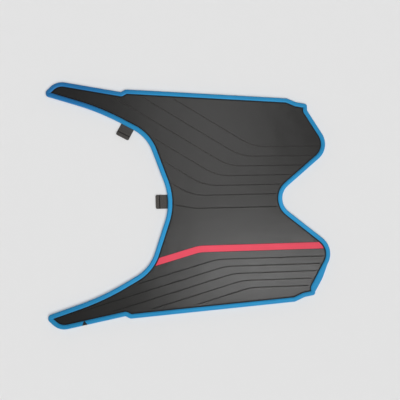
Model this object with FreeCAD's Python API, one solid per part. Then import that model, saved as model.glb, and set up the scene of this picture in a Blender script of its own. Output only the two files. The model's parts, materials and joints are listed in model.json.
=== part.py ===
import FreeCAD, Part
import math
import os

from FreeCAD import Vector

# Scooter floor mat: a grooved sheet with a folded binding round its whole edge, a stripe let into
# its top and two strap tabs in the wide cut. Millimetres, +X from the arms to the notch, +Z up,
# origin on the floor under the middle of the mat.

# Whole mat
MAT_LENGTH = 494.7
MAT_WIDTH = 427.0

# Thicknesses, from the floor up: lower flap, sheet, crown of the upper flap
LOWER_FLAP = 1.4
SHEET_THICKNESS = 3.6
UPPER_FLAP = 2.0

# Edge binding, a tape folded round the edge, which slopes down from its crown to a thin lip
BINDING_WIDTH = 7.6
BINDING_WEB = 1.6
BINDING_NOSE_BEVEL = 1.7
BINDING_LIP_SLOPE = 2.0
BINDING_LIP = 0.6
EDGE_CLEARANCE = 0.2
JOIN_ALONG = 43.5
JOIN_GAP_OUTSIDE = 10.0
JOIN_GAP_INSIDE = 0.8

# On one lobe the tape spans the corner's small notch in a fuller roll
ROLL_LENGTH = 48.0
ROLL_DROP = 6.6
ROLL_FULLNESS = 2.2
ROLL_RADIUS = 80.0
ROLL_END_RADIUS = 15.0

# Outline at the arm end: sharp corners by their distance from the arm end and from the side of
# the mat, below 0 where a corner stands outside its round; each corner then gets that round
CUT_POINT_DEPTH = 214.0
CUT_RADIUS = 105.0
ARM_ROOT_DEPTH = 173.5
ARM_ROOT_INSET = 97.9
ARM_ROOT_RADIUS = 70.0
ARM_BEND_DEPTH = 91.5
ARM_BEND_INSET = 52.9
ARM_BEND_RADIUS = 420.0
ARM_TIP_INSET = 24.2
ARM_TIP_WIDTH = 8.0
ARM_TIP_RADIUS = 5.0
ARM_SIDE_DEPTH = 18.5
ARM_SIDE_INSET = -2.1
ARM_SIDE_RADIUS = 28.0
STEP_DEPTH = 129.9
STEP_INSET = 18.1
STEP_LENGTH = 8.4
STEP_HEIGHT = 4.6
STEP_INNER_RADIUS = 2.0
STEP_OUTER_RADIUS = 7.0

# Outline at the notch end, by the distance from that end and from the side
NOTCH_POINT_DEPTH = 100.3
NOTCH_RADIUS = 30.0
LOBE_POINT_DEPTH = -10.5
LOBE_POINT_INSET = 122.7
LOBE_RADIUS = 35.0
CORNER_DEPTH = 30.5
CORNER_INSET = 42.1
CORNER_DROP = 12.0
CORNER_RADIUS = 5.0
CORNER_INNER_RADIUS = 3.0
SIDE_END_DEPTH = 67.5
SIDE_END_INSET = 31.3
SIDE_DIP_DEPTH = 50.0
SIDE_DIP_INSET = 38.7
SIDE_END_RADIUS = 6.0

# Crease that the binding's lip presses into the sheet
CREASE_WIDTH = 2.4
CREASE_DEPTH = 1.1

# Grooves moulded into the top
GROOVE_WIDTH = 1.6
GROOVE_FLOOR = 0.6
GROOVE_DEPTH = 0.8
GROOVE_MARGIN = 5.0
GROOVE_BEND_RADIUS = 85.0

# Left-hand fan: the bend of its outermost groove by the distance from notch end and side, then the
# steps inwards, and one more groove set apart from the innermost
LEFT_COUNT = 6
LEFT_BEND_DEPTH = 132.3
LEFT_BEND_INSET = 118.9
LEFT_PITCH_X = 22.4
LEFT_PITCH_Y = 17.0
LEFT_ANGLE = 32.1
MIDDLE_STEP_X = 5.0
MIDDLE_STEP_Y = 22.8
MIDDLE_ANGLE = 11.0

# Right-hand fan, in the same way
RIGHT_COUNT = 5
RIGHT_BEND_DEPTH = 146.3
RIGHT_BEND_INSET = 58.9
RIGHT_PITCH_X = 14.5
RIGHT_PITCH_Y = 12.75
RIGHT_ANGLE = 15.2

# Stripe let into the top, one step further in than the right-hand fan
STRIPE_STEP_X = 29.8
STRIPE_STEP_Y = 19.1
STRIPE_WIDTH = 11.4
STRIPE_THICKNESS = 1.0
STRIPE_GAP = 0.6
STRIPE_BEND_RADIUS = 60.0

# Strap tabs, sewn to the underside, with the free end turned over and stitched down
TAB_WIDTH = 24.5
TAB_THICKNESS = LOWER_FLAP
TAB_REACH = 21.4
TAB_ROOT = 32.0
TAB_CORNER_RADIUS = 3.0
TAB_CLEARANCE = 0.3
HEM_LENGTH = 11.0
HEM_THICKNESS = 2 * TAB_THICKNESS
HEM_SEAM_FROM_TIP = 6.8
HEM_SEAM_WIDTH = 3.4
HEM_SEAM_DEPTH = 1.1
ARM_TAB_ALONG = 38.0

# The share of a straight side that the rounds at its two ends may use between them
ROUND_SHARE = 0.98

# Values that follow from the sizes above
SHEET_BOTTOM = LOWER_FLAP
SHEET_TOP = SHEET_BOTTOM + SHEET_THICKNESS
BINDING_TOP = SHEET_TOP + UPPER_FLAP
CUTTER_LIFT = UPPER_FLAP
FAR = 2.0 * MAT_LENGTH
UP = Vector(0, 0, 1)
TOUCHING = 1e-5


def from_arm_end(depth, inset):
    """A point on the half of the mat that carries the arm tab, by its distance from end and side."""
    return Vector(depth - MAT_LENGTH / 2, MAT_WIDTH / 2 - inset, 0)


def from_notch_end(depth, inset):
    return Vector(MAT_LENGTH / 2 - depth, MAT_WIDTH / 2 - inset, 0)


# Sharp corners of one half of the outline, from the wide cut to the notch, each with its radius
ON_AXIS = MAT_WIDTH / 2
CUT_POINT = from_arm_end(CUT_POINT_DEPTH, ON_AXIS)
ARM_ROOT = from_arm_end(ARM_ROOT_DEPTH, ARM_ROOT_INSET)
ARM_BEND = from_arm_end(ARM_BEND_DEPTH, ARM_BEND_INSET)
ARM_SIDE = from_arm_end(ARM_SIDE_DEPTH, ARM_SIDE_INSET)
STEP = from_arm_end(STEP_DEPTH, STEP_INSET)
CORNER_INNER = from_notch_end(CORNER_DEPTH, CORNER_INSET + CORNER_DROP)
LOBE_POINT = from_notch_end(LOBE_POINT_DEPTH, LOBE_POINT_INSET)
HALF_OUTLINE = [
    (CUT_POINT, CUT_RADIUS),
    (ARM_ROOT, ARM_ROOT_RADIUS),
    (ARM_BEND, ARM_BEND_RADIUS),
    (from_arm_end(0, ARM_TIP_INSET), ARM_TIP_RADIUS),
    (from_arm_end(0, ARM_TIP_INSET - ARM_TIP_WIDTH), ARM_TIP_RADIUS),
    (ARM_SIDE, ARM_SIDE_RADIUS),
    (STEP, STEP_INNER_RADIUS),
    (STEP + Vector(STEP_LENGTH, STEP_HEIGHT, 0), STEP_OUTER_RADIUS),
    (from_notch_end(SIDE_END_DEPTH, SIDE_END_INSET), SIDE_END_RADIUS),
    (from_notch_end(SIDE_DIP_DEPTH, SIDE_DIP_INSET), SIDE_END_RADIUS),
    (from_notch_end(CORNER_DEPTH, CORNER_INSET), CORNER_RADIUS),
    (CORNER_INNER, CORNER_INNER_RADIUS),
    (LOBE_POINT, LOBE_RADIUS),
    (from_notch_end(NOTCH_POINT_DEPTH, ON_AXIS), NOTCH_RADIUS),
]


def unit(vector):
    return vector / vector.Length


def rounded_path(corners, closed):
    """A wire of straight runs and tangent arcs through corners given as (point, radius), 0 if sharp."""
    count = len(corners)
    points = [point for point, radius in corners]
    sides = [points[(index + 1) % count] - points[index] for index in range(count)]
    # Half of the angle inside each corner, and how far its round wants to reach along both sides
    halves = [(-sides[index - 1]).getAngle(sides[index]) / 2 for index in range(count)]
    wanted = [radius / math.tan(half) for (point, radius), half in zip(corners, halves)]
    # Two rounds that want more than their side has are cut down alike
    fits = []
    for index in range(count):
        both = wanted[index] + wanted[(index + 1) % count] + TOUCHING
        fits.append(ROUND_SHARE * sides[index].Length / both)
    arcs = []
    for index, (at, radius) in enumerate(corners):
        if radius == 0:
            arcs.append((at, None, at))
            continue
        reach = wanted[index] * min(1.0, fits[index - 1], fits[index])
        back = unit(-sides[index - 1])
        ahead = unit(sides[index])
        inward = unit(back + ahead)
        to_arc = reach / math.cos(halves[index]) - reach * math.tan(halves[index])
        arcs.append((at + back * reach, at + inward * to_arc, at + ahead * reach))
    edges = []
    for index, (start, middle, end) in enumerate(arcs):
        if middle is not None:
            edges.append(Part.Arc(start, middle, end).toShape())
        if closed or index < count - 1:
            next_start = arcs[(index + 1) % count][0]
            edges.append(Part.LineSegment(end, next_start).toShape())
    return Part.Wire(edges)


def across(point):
    """The same place on the other half of the mat."""
    return Vector(point.x, -point.y, 0)


def fan_bends(outermost, step, count):
    """The bends of a fan's grooves, from the outermost inwards."""
    return [outermost + step * index for index in range(count)]


# Bends of the grooves and of the stripe
LEFT_OUTERMOST = from_notch_end(LEFT_BEND_DEPTH, LEFT_BEND_INSET)
LEFT_BENDS = fan_bends(LEFT_OUTERMOST, Vector(-LEFT_PITCH_X, -LEFT_PITCH_Y, 0), LEFT_COUNT)
MIDDLE_BEND = LEFT_BENDS[-1] + Vector(MIDDLE_STEP_X, -MIDDLE_STEP_Y, 0)
RIGHT_OUTERMOST = across(from_notch_end(RIGHT_BEND_DEPTH, RIGHT_BEND_INSET))
RIGHT_BENDS = fan_bends(RIGHT_OUTERMOST, Vector(-RIGHT_PITCH_X, RIGHT_PITCH_Y, 0), RIGHT_COUNT)
STRIPE_BEND = RIGHT_BENDS[-1] + Vector(-STRIPE_STEP_X, STRIPE_STEP_Y, 0)


def outline_face(other_half):
    """The whole outline as a face, from the half with the arm tab and the corners of the other half."""
    mirrored = [(across(point), radius) for point, radius in reversed(other_half)]
    return Part.Face(rounded_path(HALF_OUTLINE + mirrored, True))


def rolled_half():
    """Corners of the other half, with the fuller roll in place of the small notch's inner corner."""
    start = CORNER_INNER + Vector(0, ROLL_DROP, 0)
    end = CORNER_INNER + unit(LOBE_POINT - CORNER_INNER) * ROLL_LENGTH
    crest = (start + end) / 2 + UP.cross(unit(end - start)) * ROLL_FULLNESS
    roll = [(start, CORNER_INNER_RADIUS), (crest, ROLL_RADIUS), (end, ROLL_END_RADIUS)]
    place = HALF_OUTLINE.index((CORNER_INNER, CORNER_INNER_RADIUS))
    return HALF_OUTLINE[1:place] + roll + HALF_OUTLINE[place + 1:-1]


def slab(face, bottom, top):
    """A face on the floor plane raised between two heights."""
    return face.translated(UP * bottom).extrude(UP * (top - bottom))


def fan_path(bend, angle, radius):
    """A path that comes in at an angle, bends and then runs along X to the notch end."""
    slope = math.radians(angle)
    inflow = bend + Vector(-math.cos(slope), math.sin(slope), 0) * FAR
    outflow = bend + Vector(FAR, 0, 0)
    return rounded_path([(inflow, 0), (bend, radius), (outflow, 0)], False)


def swept(path, section):
    """Sweeps a section, drawn as (sideways, height) pairs, along a flat path."""
    start = path.Edges[0].firstVertex().Point
    end = path.Edges[0].lastVertex().Point
    sideways = UP.cross(unit(end - start))
    points = [start + sideways * offset + UP * height for offset, height in section]
    profile = Part.makePolygon(points + points[:1])
    return path.makePipeShell([profile], True, False)


def groove_cutters():
    section = [
        (-GROOVE_WIDTH / 2, SHEET_TOP + CUTTER_LIFT),
        (-GROOVE_WIDTH / 2, SHEET_TOP),
        (-GROOVE_FLOOR / 2, SHEET_TOP - GROOVE_DEPTH),
        (GROOVE_FLOOR / 2, SHEET_TOP - GROOVE_DEPTH),
        (GROOVE_WIDTH / 2, SHEET_TOP),
        (GROOVE_WIDTH / 2, SHEET_TOP + CUTTER_LIFT),
    ]
    courses = [(MIDDLE_BEND, MIDDLE_ANGLE)]
    courses += [(bend, LEFT_ANGLE) for bend in LEFT_BENDS]
    courses += [(bend, -RIGHT_ANGLE) for bend in RIGHT_BENDS]
    return [swept(fan_path(bend, angle, GROOVE_BEND_RADIUS), section) for bend, angle in courses]


def stripe_band(outline, width, margin, bottom, top):
    """The stripe's course at a given width, ending a margin short of the binding."""
    section = [(-width / 2, bottom), (width / 2, bottom), (width / 2, top), (-width / 2, top)]
    course = swept(fan_path(STRIPE_BEND, -RIGHT_ANGLE, STRIPE_BEND_RADIUS), section)
    reach = outline.makeOffset2D(-BINDING_WIDTH - margin)
    return course.common(slab(reach, bottom, top))


def mat_sheet(outline):
    sheet = slab(outline.makeOffset2D(-BINDING_WEB - EDGE_CLEARANCE), SHEET_BOTTOM, SHEET_TOP)
    # Between the ends of the binding the sheet comes out to the edge
    tongue = outline.makeOffset2D(-EDGE_CLEARANCE).common(join_wedge(EDGE_CLEARANCE))
    sheet = sheet.fuse(slab(tongue, SHEET_BOTTOM, SHEET_TOP)).removeSplitter()
    window = outline.makeOffset2D(-BINDING_WIDTH)
    crease = window.cut(outline.makeOffset2D(-BINDING_WIDTH - CREASE_WIDTH))
    sheet = sheet.cut(slab(crease, SHEET_TOP - CREASE_DEPTH, SHEET_TOP))
    # A groove ends where it first comes near the binding, and doesn't start again beyond the cut
    field = outline.makeOffset2D(-BINDING_WIDTH - GROOVE_MARGIN)
    field_slab = slab(field, SHEET_TOP - GROOVE_DEPTH, SHEET_TOP + CUTTER_LIFT)
    for cutter in groove_cutters():
        pieces = cutter.common(field_slab).Solids
        sheet = sheet.cut(max(pieces, key=lambda piece: piece.Volume))
    recess_width = STRIPE_WIDTH + 2 * STRIPE_GAP
    recess_floor = SHEET_TOP - STRIPE_THICKNESS
    recess = stripe_band(outline, recess_width, CREASE_WIDTH / 2, recess_floor, SHEET_TOP + CUTTER_LIFT)
    return sheet.cut(recess)


def red_stripe(outline):
    return stripe_band(outline, STRIPE_WIDTH, CREASE_WIDTH, SHEET_TOP - STRIPE_THICKNESS, SHEET_TOP)


def edges_over(shape, wire, height):
    """Edges of a shape that lie straight above a wire on the floor plane, at one height."""
    raised = wire.translated(UP * height)
    found = []
    for edge in shape.Edges:
        spots = [edge.valueAt(edge.FirstParameter), edge.valueAt(edge.LastParameter)]
        spots.append(edge.valueAt((edge.FirstParameter + edge.LastParameter) / 2))
        if all(raised.distToShape(Part.Vertex(spot))[0] < TOUCHING for spot in spots):
            found.append(edge)
    return found


def join_wedge(margin):
    """Gap between the ends of the binding tape less a margin, wider at the nose than at the lip."""
    start = across(ARM_SIDE)
    along = unit(across(STEP) - start)
    inward = UP.cross(along)
    middle = start + along * JOIN_ALONG
    depth = BINDING_WIDTH + EDGE_CLEARANCE
    widening = (JOIN_GAP_OUTSIDE - JOIN_GAP_INSIDE) / 2 / depth
    outside = middle - inward * depth
    inside = middle + inward * depth
    half_outside = JOIN_GAP_OUTSIDE / 2 + widening * depth - margin
    half_inside = JOIN_GAP_INSIDE / 2 - margin
    points = [
        outside - along * half_outside,
        outside + along * half_outside,
        inside + along * half_inside,
        inside - along * half_inside,
    ]
    return Part.Face(Part.makePolygon(points + points[:1]))


def edge_binding(outline):
    rolled = outline_face(rolled_half())
    window = outline.makeOffset2D(-BINDING_WIDTH)
    binding = slab(rolled.cut(window), 0, BINDING_TOP)
    lip = edges_over(binding, window.OuterWire, BINDING_TOP)
    binding = binding.makeChamfer(UPPER_FLAP - BINDING_LIP, BINDING_LIP_SLOPE, lip)
    for height in (0, BINDING_TOP):
        binding = binding.makeChamfer(BINDING_NOSE_BEVEL, edges_over(binding, rolled.OuterWire, height))
    slot = slab(outline.makeOffset2D(-BINDING_WEB), SHEET_BOTTOM, SHEET_TOP)
    binding = binding.cut(slot).cut(slab(join_wedge(0), 0, BINDING_TOP))
    for edge_point, outward in tab_places():
        binding = binding.cut(tab_notch(edge_point, outward))
    return binding


def tab_places():
    """Where each tab leaves the edge, and the way it points: the arm tab, then the centre tab."""
    along_arm = unit(ARM_BEND - ARM_ROOT)
    arm_point = ARM_ROOT + along_arm * ARM_TAB_ALONG
    sag = CUT_RADIUS * (1 / unit(ARM_ROOT - CUT_POINT).y - 1)
    centre_point = CUT_POINT - Vector(sag, 0, 0)
    return [(arm_point, UP.cross(along_arm)), (centre_point, Vector(-1, 0, 0))]


def placed(shape, edge_point, outward):
    """Moves a shape drawn with +X outwards from the edge to its place on the outline."""
    turn = math.degrees(math.atan2(outward.y, outward.x))
    moved = shape.copy()
    moved.rotate(Vector(0, 0, 0), UP, turn)
    moved.translate(edge_point)
    return moved


def tab_notch(edge_point, outward):
    """Opening in the binding's lower flap and web that lets a tab out flush with the floor."""
    width = TAB_WIDTH + 2 * TAB_CLEARANCE
    corner = Vector(-TAB_ROOT, -width / 2, 0)
    opening = Part.makeBox(TAB_ROOT + TAB_REACH, width, LOWER_FLAP, corner)
    return placed(opening, edge_point, outward)


def strap_tab(edge_point, outward):
    """A strap whose free end is folded over itself, with a seam pressed into the fold."""
    fold_radius = HEM_THICKNESS / 2
    fold_start = TAB_REACH - fold_radius
    hem_start = TAB_REACH - HEM_LENGTH
    seam = TAB_REACH - HEM_SEAM_FROM_TIP
    upper_side = [
        (fold_start, HEM_THICKNESS),
        (seam + HEM_SEAM_WIDTH / 2, HEM_THICKNESS),
        (seam, HEM_THICKNESS - HEM_SEAM_DEPTH),
        (seam - HEM_SEAM_WIDTH / 2, HEM_THICKNESS),
        (hem_start, HEM_THICKNESS),
        (hem_start, TAB_THICKNESS),
        (-TAB_ROOT, TAB_THICKNESS),
        (-TAB_ROOT, 0),
        (fold_start, 0),
    ]
    half = TAB_WIDTH / 2
    points = [Vector(along, -half, height) for along, height in upper_side]
    fold = Part.Arc(points[-1], Vector(TAB_REACH, -half, fold_radius), points[0]).toShape()
    profile = Part.Wire(Part.makePolygon(points).Edges + [fold])
    strap = Part.Face(profile).extrude(Vector(0, TAB_WIDTH, 0))
    plan = rounded_path([
        (Vector(-TAB_ROOT, -half, 0), 0),
        (Vector(TAB_REACH, -half, 0), TAB_CORNER_RADIUS),
        (Vector(TAB_REACH, half, 0), TAB_CORNER_RADIUS),
        (Vector(-TAB_ROOT, half, 0), 0),
    ], True)
    return placed(strap.common(slab(Part.Face(plan), 0, HEM_THICKNESS)), edge_point, outward)


def build():
    outline = outline_face(HALF_OUTLINE[1:-1])
    arm_place, centre_place = tab_places()
    nodes = {
        "mat_sheet": mat_sheet(outline),
        "edge_binding": edge_binding(outline),
        "red_stripe": red_stripe(outline),
        "arm_tab": strap_tab(*arm_place),
        "centre_tab": strap_tab(*centre_place),
    }
    box = outline.BoundBox
    to_middle = Vector(-box.Center.x, -box.Center.y, 0)
    os.makedirs("parts", exist_ok=True)
    for name, shape in nodes.items():
        shape.translate(to_middle)
        shape.exportStep(os.path.join("parts", name + ".step"))
        print(name, shape.isValid(), len(shape.Solids), "solid", round(shape.Volume, 1), "mm3")
    print("outline", round(box.XLength, 1), "by", round(box.YLength, 1))


build()
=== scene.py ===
import json
import math

import bmesh
import bpy
from mathutils import Matrix, Vector


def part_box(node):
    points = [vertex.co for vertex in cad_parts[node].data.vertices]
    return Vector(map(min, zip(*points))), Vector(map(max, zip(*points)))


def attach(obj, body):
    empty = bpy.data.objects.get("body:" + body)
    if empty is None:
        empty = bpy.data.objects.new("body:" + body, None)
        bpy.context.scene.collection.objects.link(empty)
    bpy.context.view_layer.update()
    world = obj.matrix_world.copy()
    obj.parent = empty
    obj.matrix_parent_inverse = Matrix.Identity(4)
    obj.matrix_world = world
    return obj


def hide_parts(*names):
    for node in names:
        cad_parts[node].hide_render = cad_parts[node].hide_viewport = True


# Looks of the scooter floor mat. Metres; sizes in millimetres carry the factor MM.
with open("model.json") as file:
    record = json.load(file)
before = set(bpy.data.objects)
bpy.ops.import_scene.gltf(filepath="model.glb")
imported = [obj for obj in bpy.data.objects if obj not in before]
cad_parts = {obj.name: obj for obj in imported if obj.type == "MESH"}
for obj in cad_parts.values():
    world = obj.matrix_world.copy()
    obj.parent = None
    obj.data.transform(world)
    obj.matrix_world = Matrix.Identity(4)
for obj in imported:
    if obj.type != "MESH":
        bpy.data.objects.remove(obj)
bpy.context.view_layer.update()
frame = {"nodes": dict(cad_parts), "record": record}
scene = bpy.context.scene
MM = 0.001

# Sheet: its top's height over the floor, and the depths below it at which the grooves turn dull and at
# which painted shade begins: near-black painted into the crease along the binding, the stripe's recess
# and everything lower
SHEET_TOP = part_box("mat_sheet")[1].z
DULL_FROM = 0.2 * MM
DULL_TO = 0.5 * MM
SHADE_DEPTH_FROM = 0.85 * MM
SHADE_DEPTH_TO = 0.98 * MM

# Groove floors are painted paler along one direction, which takes out some of their shade, and the
# binding's blue is painted deeper along another as painted shade, both between two distances from the
# middle of the mat
PALE_GROOVE_DIRECTION = (-0.4, 1.0, 0.0)
PALE_GROOVE_FROM = -60 * MM
PALE_GROOVE_TO = 60 * MM
SHADED_BLUE_DIRECTION = (-0.7, 0.7, 0.0)
SHADED_BLUE_FROM = 165 * MM
SHADED_BLUE_TO = 260 * MM

# Rounds on the pieces' edges. Edges that turn more than CRISP_ANGLE get them.
SHEET_ROUND = 0.2 * MM
BINDING_ROUND = 0.45 * MM
STRIPE_ROUND = 0.15 * MM
STRAP_ROUND = 0.3 * MM
CRISP_ANGLE = math.radians(30)

# The solids' loose triangles are joined at corners this close, and into one face where they turn less
# than FLAT_ANGLE. Edges above SHADING_ANGLE shade as edges.
MERGE_DISTANCE = 0.004 * MM
FLAT_ANGLE = math.radians(0.5)
SHADING_ANGLE = math.radians(40)

# Strap tabs: spacing of the woven threads, and the stitches in the seam of each hem
WEAVE_SPACING = 0.9 * MM
SEAM_FROM_TIP = 6.8 * MM
SEAM_FLOOR = 1.7 * MM
STITCH_COUNT = 7
STITCH_PITCH = 3.3 * MM
STITCH_LENGTH = 3.2 * MM
THREAD_RADIUS = 0.75 * MM
THREAD_LIFT = 0.6 * THREAD_RADIUS

# Floor and backdrop
FLOOR_RADIUS = 5.0
BACKDROP_RADIUS = 3.0
BACKDROP_STEPS = 10
FLOOR_STEPS = 96

# Light
ROOM_STRENGTH = 0.18
CEILING = 1.05

# Camera, as found from the photograph's perspective
LENS = 54.0
SENSOR = 36.0
CAMERA_PLACE = Vector((-85.26, -78.94, 1053.0)) * MM
CAMERA_TURN = (math.radians(4.53), math.radians(-5.43), math.radians(-1.75))

# Sockets of a Mix node, which share their names and so are picked by number
FACTOR = 0
VALUE_A = 2
VALUE_B = 3
COLOUR_A = 6
COLOUR_B = 7
MIXED_COLOUR = 2

# What a lamp reaches, where it lights only the mat or only the floor
mat_only = bpy.data.collections.new("mat_only")
floor_only = bpy.data.collections.new("floor_only")


def colour(text):
    """An sRGB colour such as 28a0d0 as linear RGBA."""
    channels = [int(text[place:place + 2], 16) / 255 for place in (0, 2, 4)]
    linear = [c / 12.92 if c <= 0.04045 else ((c + 0.055) / 1.055) ** 2.4 for c in channels]
    return (*linear, 1.0)


def per(width):
    """Texture scale at which one feature is about this wide."""
    return 1.0 / width


def per_band(spacing):
    """Wave texture scale at which its bands are this far apart: it has 20 radians to a unit."""
    return math.tau / 20 / spacing


def add(tree, kind, inputs, **settings):
    """Adds a node. Inputs take plain values or other nodes' outputs."""
    new = tree.nodes.new(kind)
    for name, value in settings.items():
        setattr(new, name, value)
    for socket, value in inputs.items():
        if isinstance(value, bpy.types.NodeSocket):
            tree.links.new(value, new.inputs[socket])
        else:
            new.inputs[socket].default_value = value
    return new


def new_material(name, **sockets):
    """A material with its shader's even values set, and the place on the object for its patterns."""
    material = bpy.data.materials.new(name)
    material.use_nodes = True
    tree = material.node_tree
    shader = tree.nodes["Principled BSDF"]
    for socket, value in sockets.items():
        shader.inputs[socket.replace("_", " ")].default_value = value
    place = add(tree, "ShaderNodeTexCoord", {}).outputs["Object"]
    return material, tree, shader, place


def black_sheet_material():
    # Moulded soft PVC: a fine grain under an uneven sheen, dull down in the grooves, with groove floors
    # painted paler towards one arm, which takes out some of their shade, and painted shade, near-black,
    # in the crease
    material, tree, shader, place = new_material("moulded_black_pvc", Specular_IOR_Level=0.5)
    broad = add(tree, "ShaderNodeTexNoise",
                {"Vector": place, "Scale": per(65 * MM), "Detail": 2.0}).outputs[0]
    fine = add(tree, "ShaderNodeTexNoise",
               {"Vector": place, "Scale": per(2.2 * MM), "Detail": 4.0}).outputs[0]
    tone = add(tree, "ShaderNodeMath", {0: broad, 1: fine}, operation="MULTIPLY").outputs[0]
    body = add(tree, "ShaderNodeMix",
               {FACTOR: tone, COLOUR_A: colour("1f1e1d"), COLOUR_B: colour("2a2927")},
               data_type="RGBA").outputs[MIXED_COLOUR]

    height = add(tree, "ShaderNodeSeparateXYZ", {"Vector": place}).outputs["Z"]
    depth = add(tree, "ShaderNodeMath", {0: SHEET_TOP, 1: height}, operation="SUBTRACT").outputs[0]
    sunk = add(tree, "ShaderNodeMapRange",
               {"Value": depth, "From Min": DULL_FROM, "From Max": DULL_TO}).outputs[0]
    # Groove floors are painted paler towards one arm, taking out some of their shade there
    along = add(tree, "ShaderNodeVectorMath", {0: place, 1: PALE_GROOVE_DIRECTION},
                operation="DOT_PRODUCT").outputs["Value"]
    spread = add(tree, "ShaderNodeMapRange",
                 {"Value": along, "From Min": PALE_GROOVE_FROM, "From Max": PALE_GROOVE_TO}).outputs[0]
    pale_grooves = add(tree, "ShaderNodeMath", {0: sunk, 1: spread}, operation="MULTIPLY").outputs[0]
    with_pale_grooves = add(tree, "ShaderNodeMix",
                {FACTOR: pale_grooves, COLOUR_A: body, COLOUR_B: colour("454341")},
                data_type="RGBA").outputs[MIXED_COLOUR]
    # Painted shade: the crease along the binding and the stripe's recess are painted near-black, as is
    # all of the sheet lower down
    crease_shade = add(tree, "ShaderNodeMapRange",
               {"Value": depth, "From Min": SHADE_DEPTH_FROM, "From Max": SHADE_DEPTH_TO}).outputs[0]
    shaded = add(tree, "ShaderNodeMix",
                 {FACTOR: crease_shade, COLOUR_A: with_pale_grooves, COLOUR_B: colour("0c0c0c")},
                 data_type="RGBA").outputs[MIXED_COLOUR]
    tree.links.new(shaded, shader.inputs["Base Color"])

    gloss = add(tree, "ShaderNodeMapRange", {"Value": broad, "To Min": 0.28, "To Max": 0.34}).outputs[0]
    dulled = add(tree, "ShaderNodeMix", {FACTOR: sunk, VALUE_A: gloss, VALUE_B: 0.6}).outputs[0]
    tree.links.new(dulled, shader.inputs["Roughness"])

    grain = add(tree, "ShaderNodeTexVoronoi",
                {"Vector": place, "Scale": per(0.9 * MM), "Randomness": 1.0}).outputs[0]
    waves = add(tree, "ShaderNodeBump",
                {"Height": broad, "Strength": 1.0, "Distance": 0.8 * MM}).outputs[0]
    skin = add(tree, "ShaderNodeBump",
               {"Height": grain, "Strength": 0.7, "Distance": 0.05 * MM, "Normal": waves}).outputs[0]
    tree.links.new(skin, shader.inputs["Normal"])
    return material


def blue_binding_material():
    # Satin PVC tape: mottled blue with a faint grain, and painted shade: a deeper blue painted on one
    # arm, where the light falls off
    material, tree, shader, place = new_material("satin_blue_pvc", Specular_IOR_Level=0.2, Roughness=0.55)
    broad = add(tree, "ShaderNodeTexNoise",
                {"Vector": place, "Scale": per(45 * MM), "Detail": 3.0}).outputs[0]
    grain = add(tree, "ShaderNodeTexNoise",
                {"Vector": place, "Scale": per(1.1 * MM), "Detail": 3.0}).outputs[0]
    tone = add(tree, "ShaderNodeMix", {FACTOR: 0.5, VALUE_A: broad, VALUE_B: grain}).outputs[0]
    faded = add(tree, "ShaderNodeMix",
                {FACTOR: tone, COLOUR_A: colour("1c84bd"), COLOUR_B: colour("34a3d9")},
                data_type="RGBA").outputs[MIXED_COLOUR]
    # Painted shade: the blue is painted deeper on one arm, where the light falls off
    along = add(tree, "ShaderNodeVectorMath", {0: place, 1: SHADED_BLUE_DIRECTION},
                operation="DOT_PRODUCT").outputs["Value"]
    painted_shade_arm = add(tree, "ShaderNodeMapRange",
               {"Value": along, "From Min": SHADED_BLUE_FROM, "From Max": SHADED_BLUE_TO}).outputs[0]
    body = add(tree, "ShaderNodeMix",
               {FACTOR: painted_shade_arm, COLOUR_A: faded, COLOUR_B: colour("287fc0")},
               data_type="RGBA").outputs[MIXED_COLOUR]
    tree.links.new(body, shader.inputs["Base Color"])
    skin = add(tree, "ShaderNodeBump",
               {"Height": grain, "Strength": 0.8, "Distance": 0.08 * MM}).outputs[0]
    tree.links.new(skin, shader.inputs["Normal"])
    return material


def red_stripe_material():
    # Flat red PVC: slightly chalky and mottled, with soft rubbed patches
    material, tree, shader, place = new_material("satin_red_pvc", Specular_IOR_Level=0.2)
    broad = add(tree, "ShaderNodeTexNoise",
                {"Vector": place, "Scale": per(30 * MM), "Detail": 4.0}).outputs[0]
    grain = add(tree, "ShaderNodeTexNoise",
                {"Vector": place, "Scale": per(0.9 * MM), "Detail": 3.0}).outputs[0]
    tone = add(tree, "ShaderNodeMix", {FACTOR: 0.5, VALUE_A: broad, VALUE_B: grain}).outputs[0]
    body = add(tree, "ShaderNodeMix",
               {FACTOR: tone, COLOUR_A: colour("db4054"), COLOUR_B: colour("f1586c")},
               data_type="RGBA").outputs[MIXED_COLOUR]
    tree.links.new(body, shader.inputs["Base Color"])
    gloss = add(tree, "ShaderNodeMapRange", {"Value": broad, "To Min": 0.45, "To Max": 0.55}).outputs[0]
    tree.links.new(gloss, shader.inputs["Roughness"])
    skin = add(tree, "ShaderNodeBump",
               {"Height": grain, "Strength": 0.8, "Distance": 0.06 * MM}).outputs[0]
    tree.links.new(skin, shader.inputs["Normal"])
    return material


def webbing_material(name, outward):
    # Woven polyester tape: a plain weave whose threads go over and under in turn, so that each wave takes
    # two of them, paler where they stand proud
    material, tree, shader, place = new_material(name, Roughness=0.8, Specular_IOR_Level=0.3)
    turn = (0, 0, -math.atan2(outward.y, outward.x))
    along = add(tree, "ShaderNodeMapping", {"Vector": place, "Rotation": turn}).outputs[0]
    wave = {"Vector": along, "Scale": per_band(2 * WEAVE_SPACING), "Distortion": 0.5, "Detail": 1.0}
    warp = add(tree, "ShaderNodeTexWave", wave, bands_direction="X").outputs["Fac"]
    weft = add(tree, "ShaderNodeTexWave", wave, bands_direction="Y").outputs["Fac"]
    over = add(tree, "ShaderNodeMath", {0: warp, 1: weft}, operation="SUBTRACT").outputs[0]
    weave = add(tree, "ShaderNodeMath", {0: over}, operation="ABSOLUTE").outputs[0]
    body = add(tree, "ShaderNodeMix",
               {FACTOR: weave, COLOUR_A: colour("373432"), COLOUR_B: colour("66625e")},
               data_type="RGBA").outputs[MIXED_COLOUR]
    tree.links.new(body, shader.inputs["Base Color"])
    rib = add(tree, "ShaderNodeBump",
              {"Height": weave, "Strength": 0.6, "Distance": 0.15 * MM}).outputs[0]
    tree.links.new(rib, shader.inputs["Normal"])
    return material


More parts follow.
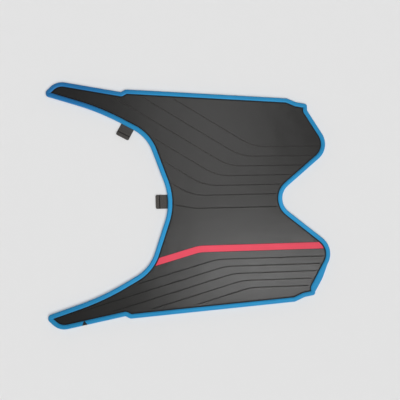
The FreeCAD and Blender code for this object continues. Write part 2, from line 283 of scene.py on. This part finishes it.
def thread_material():
    # Sewing thread: two dark plies twisted round each other, one turn to a stitch. Along a stitch,
    # diagonal bands are twice as far apart as the scale says.
    material, tree, shader, place = new_material("dark_thread", Roughness=0.65, Specular_IOR_Level=0.3)
    wave = {"Vector": place, "Scale": per_band(STITCH_LENGTH / 2), "Distortion": 0.3}
    ply = add(tree, "ShaderNodeTexWave", wave, bands_direction="DIAGONAL").outputs["Fac"]
    body = add(tree, "ShaderNodeMix",
               {FACTOR: ply, COLOUR_A: colour("080707"), COLOUR_B: colour("171514")},
               data_type="RGBA").outputs[MIXED_COLOUR]
    tree.links.new(body, shader.inputs["Base Color"])
    twist = add(tree, "ShaderNodeBump",
                {"Height": ply, "Strength": 0.6, "Distance": 0.1 * MM}).outputs[0]
    tree.links.new(twist, shader.inputs["Normal"])
    return material


def floor_material():
    # Plain pale studio floor, quite dull
    even = {"Base_Color": colour("e6e6e6"), "Roughness": 1.0, "Specular_IOR_Level": 0.0}
    return new_material("pale_floor", **even)[0]


def new_object(name, mesh):
    """An object in the scene with a finished bmesh as its smooth-shaded mesh."""
    data = bpy.data.meshes.new(name)
    mesh.to_mesh(data)
    mesh.free()
    data.shade_smooth()
    made = bpy.data.objects.new(name, data)
    scene.collection.objects.link(made)
    return made


def softened(name, node, width, segments):
    """A copy of a CAD node with its edges rounded, standing for that node."""
    mesh = bmesh.new()
    mesh.from_mesh(frame["nodes"][node].data)
    bmesh.ops.remove_doubles(mesh, verts=mesh.verts, dist=MERGE_DISTANCE)
    bmesh.ops.dissolve_limit(mesh, angle_limit=FLAT_ANGLE, verts=mesh.verts, edges=mesh.edges)
    crisp = [edge for edge in mesh.edges if edge.is_manifold and edge.calc_face_angle() > CRISP_ANGLE]
    bmesh.ops.bevel(mesh, geom=crisp, offset=width, offset_type="OFFSET", affect="EDGES",
                    segments=segments, profile=0.5, material=-1, clamp_overlap=True)
    bmesh.ops.recalc_face_normals(mesh, faces=mesh.faces)
    piece = new_object(name, mesh)
    piece.data.set_sharp_from_angle(angle=SHADING_ANGLE)
    # Large flat faces keep their own normals, so only the rounded edges shade round
    even = piece.modifiers.new("even_normals", "WEIGHTED_NORMAL")
    even.weight = 100
    even.keep_sharp = True
    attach(piece, "root")
    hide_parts(node)
    return piece


def hem_stitches(name, tip, outward):
    """A row of stitches laid in the seam that crosses a strap near its tip."""
    sideways = Vector((-outward.y, outward.x, 0))
    seam = Vector((tip.x, tip.y, SEAM_FLOOR + THREAD_LIFT)) - outward * SEAM_FROM_TIP
    turn = Matrix.Rotation(math.atan2(sideways.y, sideways.x), 4, "Z")
    grain = Matrix.Diagonal((STITCH_LENGTH / 2, THREAD_RADIUS, THREAD_RADIUS, 1))
    mesh = bmesh.new()
    for index in range(STITCH_COUNT):
        offset = (index - (STITCH_COUNT - 1) / 2) * STITCH_PITCH
        at = Matrix.Translation(seam + sideways * offset)
        bmesh.ops.create_icosphere(mesh, subdivisions=3, radius=1.0, matrix=at @ turn @ grain)
    piece = new_object(name, mesh)
    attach(piece, "root")
    return piece


def dress(piece, material):
    """Gives a piece its finish, and the lamps that light only the mat."""
    piece.data.materials.clear()
    piece.data.materials.append(material)
    mat_only.objects.link(piece)


def lamp(name, kind, place, target, power, reaches, **settings):
    """A lamp that looks at a target and lights only one collection."""
    data = bpy.data.lights.new(name, kind)
    data.energy = power
    for setting, value in settings.items():
        setattr(data, setting, value)
    light = bpy.data.objects.new(name, data)
    light.location = Vector(place)
    light.rotation_euler = (Vector(target) - Vector(place)).to_track_quat("-Z", "Y").to_euler()
    light.visible_camera = False
    light.light_linking.receiver_collection = reaches
    scene.collection.objects.link(light)
    return light


def ceiling_box(name, x, y, power, length, width):
    """A soft box level with the camera that shows only as sheen."""
    box = lamp(name, "AREA", place=(x, y, CEILING), target=(x, y, 0), power=power, reaches=mat_only,
               shape="RECTANGLE", size=length, size_y=width)
    box.visible_diffuse = False


# Sheet, binding and stripe
dress(softened("sheet", "mat_sheet", SHEET_ROUND, segments=2), black_sheet_material())
dress(softened("binding", "edge_binding", BINDING_ROUND, segments=3), blue_binding_material())
dress(softened("stripe", "red_stripe", STRIPE_ROUND, segments=2), red_stripe_material())

# Strap tabs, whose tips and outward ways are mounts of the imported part
thread = thread_material()
mounts = {mount["name"]: mount for mount in frame["record"]["mounts"]}
for side in ("arm", "centre"):
    tongue = mounts[side + "_tab_tongue"]
    tip = Vector(tongue["pos_m"])
    outward = Vector(tongue["axis"])
    strap = softened(side + "_strap", side + "_tab", STRAP_ROUND, segments=2)
    dress(strap, webbing_material(side + "_woven_tape", outward))
    dress(hem_stitches(side + "_stitches", tip, outward), thread)

# Floor, which curves up into a backdrop all round
sweep = bmesh.new()
middle = sweep.verts.new((0, 0, 0))
rim = sweep.verts.new((FLOOR_RADIUS, 0, 0))
sweep.edges.new((middle, rim))
bmesh.ops.spin(sweep, geom=[rim], cent=(FLOOR_RADIUS, 0, BACKDROP_RADIUS), axis=(0, -1, 0),
               angle=math.radians(90), steps=BACKDROP_STEPS)
bmesh.ops.spin(sweep, geom=sweep.verts[:] + sweep.edges[:], axis=(0, 0, 1), angle=math.radians(360),
               steps=FLOOR_STEPS, use_merge=True)
bmesh.ops.remove_doubles(sweep, verts=sweep.verts, dist=MM)
floor = new_object("floor", sweep)
floor.data.materials.append(floor_material())
floor_only.objects.link(floor)

# Light: an even room, a wide soft sun on the floor, and on the mat a sun from one long side, a lamp close
# above it that gives no sheen, and two ceiling boxes that give only sheen
scene.world = bpy.data.worlds.new("room")
scene.world.use_nodes = True
room = scene.world.node_tree.nodes["Background"]
room.inputs["Color"].default_value = (1.0, 1.0, 1.0, 1.0)
room.inputs["Strength"].default_value = ROOM_STRENGTH
lamp("floor_sun", "SUN", place=(0.1, -0.3, 1.0), target=(0, 0, 0), power=2.45, reaches=floor_only,
     angle=math.radians(60))
lamp("side_sun", "SUN", place=(0.55, -0.9, 0.75), target=(0, 0, 0), power=1.35, reaches=mat_only,
     angle=math.radians(20))
near = lamp("near_lamp", "AREA", place=(0.06, -0.048, 0.40), target=(0.06, -0.048, 0), power=0.9,
            reaches=mat_only, shape="DISK", size=0.12)
near.visible_glossy = False
ceiling_box("strip_box", x=0.355, y=-0.183, power=2.65, length=0.60, width=0.08)
ceiling_box("wide_box", x=0.162, y=0.374, power=1.76, length=0.467, width=0.70)

# Camera
camera_data = bpy.data.cameras.new("camera")
camera_data.lens = LENS
camera_data.sensor_width = SENSOR
camera = bpy.data.objects.new("camera", camera_data)
camera.location = CAMERA_PLACE
camera.rotation_euler = CAMERA_TURN
scene.collection.objects.link(camera)
scene.camera = camera
scene.view_settings.view_transform = "Standard"
